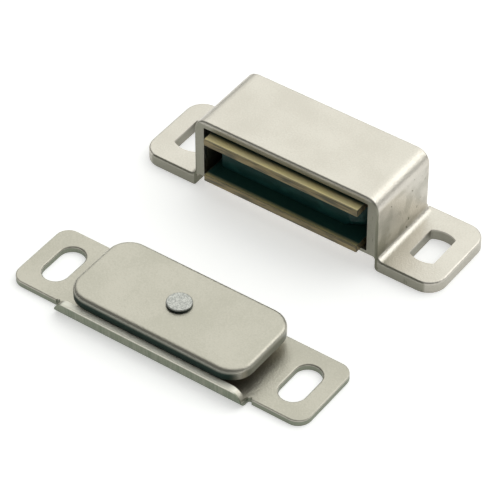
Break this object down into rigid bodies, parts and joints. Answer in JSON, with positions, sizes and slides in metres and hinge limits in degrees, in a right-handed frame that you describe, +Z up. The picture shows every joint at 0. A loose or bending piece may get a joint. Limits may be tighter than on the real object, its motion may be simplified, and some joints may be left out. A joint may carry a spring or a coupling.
{
  "type": "magnetic catch",
  "caption": "Magnetic cabinet catch laid out ready to fit: a cast housing with a magnet between pole plates, and a strike whose pad rocks on a shouldered rivet.",
  "frame": {"origin": "centre of the bottom of the whole set's bounding box, in the plane of the mounting faces", "axes": "+X along the length of both halves, +Y from the strike towards the housing, +Z up from the mounting faces"},
  "size_m": [0.06, 0.0556, 0.0151],
  "materials": {
    "housing": "satin nickel plate on a zinc casting",
    "magnet": "dark sintered ferrite",
    "pole_plate": "yellow passivated steel",
    "strike": "satin nickel plate on folded sheet steel",
    "pad": "satin nickel plate on steel",
    "rivet": "peened steel"
  },
  "bodies": {
    "fixed_parts": {"housing": "housing", "magnet": "magnet", "upper_pole_plate": "pole_plate", "lower_pole_plate": "pole_plate", "strike_base": "strike", "rivet": "rivet"},
    "pad": {"strike_pad": "pad"}
  },
  "joints": [
    {"name": "pad_rock", "type": "hinge", "parent": "fixed_parts", "child": "pad", "pos_m": [0, -0.0185, 0.0042], "axis": [1, 0, 0], "range_deg": [-1.2, 1.2]}
  ]
}
